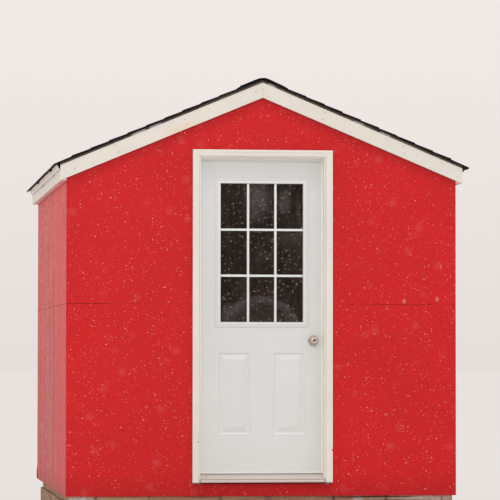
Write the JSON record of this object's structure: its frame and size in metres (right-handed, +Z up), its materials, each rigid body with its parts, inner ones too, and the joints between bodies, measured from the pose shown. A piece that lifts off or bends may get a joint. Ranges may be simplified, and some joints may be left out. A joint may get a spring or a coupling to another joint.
{
  "type": "ice fishing hut",
  "caption": "Small gable-roofed wooden hut on two timber skids for fishing on ice, with red plywood walls, white trim, asphalt shingles and a half-glazed hinged door.",
  "frame": {"origin": "on the ground, at the centre of the hut seen from above", "axes": "+Z up; the door faces -Y; +X is to the right when facing the door from outside"},
  "size_m": [2.6664, 3.176, 2.8238],
  "materials": {
    "red_paint": "semi-gloss paint on grooved plywood",
    "white_paint": "satin white paint, dirt-marked",
    "door_paint": "satin white steel door skin",
    "door_plastic": "white moulded lite frame",
    "glass": "clear double glazing",
    "weathered_wood": "raw weathered timber",
    "floor_wood": "unpainted plywood",
    "inner_lining": "unpainted plywood lining over insulated studs",
    "deck_wood": "bare sheathing edge",
    "shingles": "black mineral-surfaced asphalt",
    "drip_metal": "white-painted folded steel",
    "sill_metal": "mill finish, scuffed",
    "hinge_metal": "zinc plated",
    "knob_metal": "satin nickel",
    "sweep_rubber": "black vinyl"
  },
  "bodies": {
    "hut": {"skid_left": "weathered_wood", "skid_right": "weathered_wood", "rim_joist_left": "weathered_wood", "rim_joist_right": "weathered_wood", "floor_joists": "weathered_wood", "floor": "floor_wood", "left_wall": "inner_lining", "right_wall": "inner_lining", "front_wall_left": "inner_lining", "front_wall_right": "inner_lining", "front_wall_over_door": "inner_lining", "back_wall": "inner_lining", "left_cladding": "red_paint", "right_cladding": "red_paint", "front_cladding_left": "red_paint", "front_cladding_right": "red_paint", "front_cladding_over_door": "red_paint", "front_cladding_below_door": "red_paint", "back_cladding": "red_paint", "roof_frame_left": "inner_lining", "roof_frame_right": "inner_lining", "roof_deck_left": "deck_wood", "roof_deck_right": "deck_wood", "fascia_left": "white_paint", "fascia_right": "white_paint", "front_rake_left": "white_paint", "front_rake_right": "white_paint", "back_rake_left": "white_paint", "back_rake_right": "white_paint", "shingles_left": "shingles", "shingles_right": "shingles", "ridge_cap": "shingles", "drip_edge_left": "drip_metal", "drip_edge_right": "drip_metal", "door_trim_left": "white_paint", "door_trim_right": "white_paint", "door_trim_top": "white_paint", "door_jamb_left": "white_paint", "door_jamb_right": "white_paint", "door_jamb_head": "white_paint", "strike_plate": "hinge_metal", "door_sill": "sill_metal", "hinge_leaves_jamb": "hinge_metal"},
    "door": {"door_slab": "door_paint", "latch_plate": "hinge_metal", "door_lite_frame": "door_plastic", "door_glass": "glass", "door_sweep": "sweep_rubber", "hinge_leaves_door": "hinge_metal", "knob_roses": "knob_metal"},
    "knob": {"door_knobs": "knob_metal"}
  },
  "joints": [
    {"name": "door_hinge", "type": "hinge", "parent": "hut", "child": "door", "pos_m": [-0.4085, -1.431, 1.307], "axis": [0, 0, 1], "range_deg": [0, 115]},
    {"name": "knob_turn", "type": "hinge", "parent": "door", "child": "knob", "pos_m": [0.336, -1.46125, 1.143], "axis": [0, 1, 0], "range_deg": [-50, 50], "stiffness_Nm_per_rad": 0.4}
  ]
}
